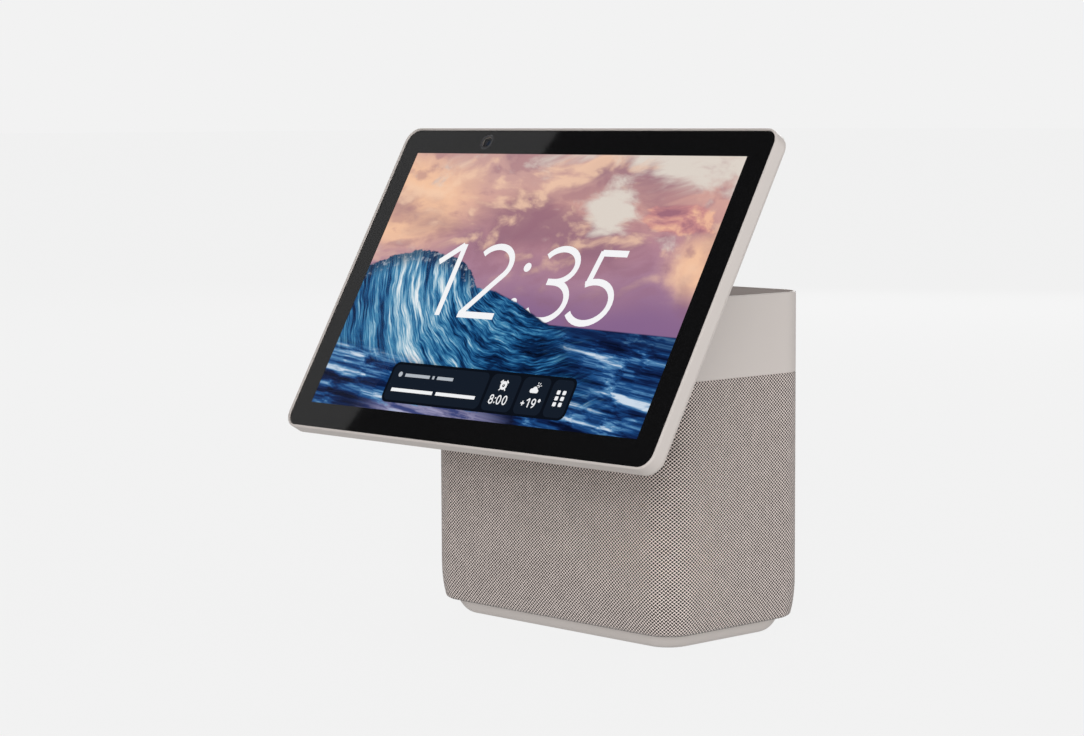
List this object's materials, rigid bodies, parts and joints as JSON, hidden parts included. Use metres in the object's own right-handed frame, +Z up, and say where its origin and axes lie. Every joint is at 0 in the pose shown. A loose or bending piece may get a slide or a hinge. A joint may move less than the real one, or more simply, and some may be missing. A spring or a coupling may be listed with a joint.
{
  "type": "smart display",
  "caption": "Tabletop touch screen on a friction tilt hinge in front of a rounded, cloth-wrapped speaker base, with a plastic collar, tapered foot and rear power inlet.",
  "frame": {"origin": "centre of the speaker base's footprint, on the table", "axes": "+Z up; the screen faces -Y and leans back; +X is to the right of a person who faces the screen"},
  "size_m": [0.2438, 0.1495, 0.2329],
  "materials": {
    "greige": "fine satin",
    "taupe": "fine satin",
    "cloth": "woven",
    "dark_plastic": "moulded",
    "rubber": "matte",
    "cover_glass": "polished",
    "black_border": "printed",
    "screen": "lit picture",
    "lens_glass": "coated",
    "steel": "brushed",
    "aluminium": "anodised",
    "circuit_board": "solder mask",
    "ribbon": "film",
    "spider_cloth": "woven",
    "cone_paper": "pressed paper"
  },
  "bodies": {
    "base": {"foot_pad": "rubber", "foot_plate": "greige", "foot_screws": "steel", "base_tray": "dark_plastic", "inlet_bezel": "dark_plastic", "dc_jack": "dark_plastic", "power_board": "circuit_board", "amplifier_board": "circuit_board", "speaker_cabinet": "dark_plastic", "cabinet_gasket": "rubber", "cabinet_lid": "dark_plastic", "cabinet_screws": "steel", "grille_sleeve": "dark_plastic", "fabric_sleeve": "cloth", "woofer_basket": "steel", "woofer_magnet": "steel", "woofer_surround": "rubber", "woofer_spider": "spider_cloth", "tweeter_left": "steel", "tweeter_right": "steel", "radiator_surround_left": "rubber", "radiator_surround_right": "rubber", "collar": "greige", "top_plate": "taupe", "hinge_trough": "dark_plastic", "base_hinge_bracket": "steel", "hinge_shaft": "steel", "friction_washers": "steel", "spring_washers": "steel", "hinge_nuts": "steel", "base_bracket_screws": "steel", "main_board": "circuit_board", "heat_sink": "aluminium", "wifi_antennas": "circuit_board", "ribbon_cable": "ribbon"},
    "display": {"cover_glass": "cover_glass", "border_film": "black_border", "lcd_panel": "screen", "backlight_unit": "dark_plastic", "display_frame": "greige", "display_rear_cover": "greige", "display_screws": "steel", "display_hinge_bracket": "steel", "display_bracket_screws": "steel", "hinge_barrel_cover": "greige", "display_board": "circuit_board", "camera_module": "dark_plastic", "camera_lens": "lens_glass", "button_board": "circuit_board", "microphone_boards": "circuit_board"},
    "woofer_diaphragm": {"woofer_cone": "cone_paper"},
    "tweeter_diaphragm_left": {"tweeter_dome_left": "cone_paper"},
    "tweeter_diaphragm_right": {"tweeter_dome_right": "cone_paper"},
    "radiator_diaphragm_left": {"radiator_plate_left": "steel"},
    "radiator_diaphragm_right": {"radiator_plate_right": "steel"},
    "shutter": {"camera_shutter": "dark_plastic"},
    "mute_button": {"mic_mute": "greige"},
    "down_button": {"volume_down": "greige"},
    "up_button": {"volume_up": "greige"}
  },
  "joints": [
    {"name": "display_tilt", "type": "hinge", "parent": "base", "child": "display", "pos_m": [0, -0.045, 0.146], "axis": [1, 0, 0], "range_deg": [-12, 25]},
    {"name": "shutter_slide", "type": "slide", "parent": "display", "child": "shutter", "axis": [-1, 0, 0], "range_m": [0, 0.0093]},
    {"name": "mute_press", "type": "slide", "parent": "display", "child": "mute_button", "axis": [0, -0.503, -0.8643], "range_m": [0, 0.0005], "stiffness_N_per_m": 600},
    {"name": "volume_down_press", "type": "slide", "parent": "display", "child": "down_button", "axis": [0, -0.503, -0.8643], "range_m": [0, 0.0005], "stiffness_N_per_m": 600},
    {"name": "volume_up_press", "type": "slide", "parent": "display", "child": "up_button", "axis": [0, -0.503, -0.8643], "range_m": [0, 0.0005], "stiffness_N_per_m": 600},
    {"name": "woofer_travel", "type": "slide", "parent": "base", "child": "woofer_diaphragm", "axis": [0, -1, 0], "range_m": [-0.0025, 0.0025], "stiffness_N_per_m": 1500},
    {"name": "tweeter_travel_left", "type": "slide", "parent": "base", "child": "tweeter_diaphragm_left", "axis": [0, -1, 0], "range_m": [-0.0002, 0.0002], "stiffness_N_per_m": 800},
    {"name": "tweeter_travel_right", "type": "slide", "parent": "base", "child": "tweeter_diaphragm_right", "axis": [0, -1, 0], "range_m": [-0.0002, 0.0002], "stiffness_N_per_m": 800},
    {"name": "radiator_travel_left", "type": "slide", "parent": "base", "child": "radiator_diaphragm_left", "axis": [-1, 0, 0], "range_m": [-0.0025, 0.0025], "stiffness_N_per_m": 1500},
    {"name": "radiator_travel_right", "type": "slide", "parent": "base", "child": "radiator_diaphragm_right", "axis": [1, 0, 0], "range_m": [-0.0025, 0.0025], "stiffness_N_per_m": 1500}
  ]
}
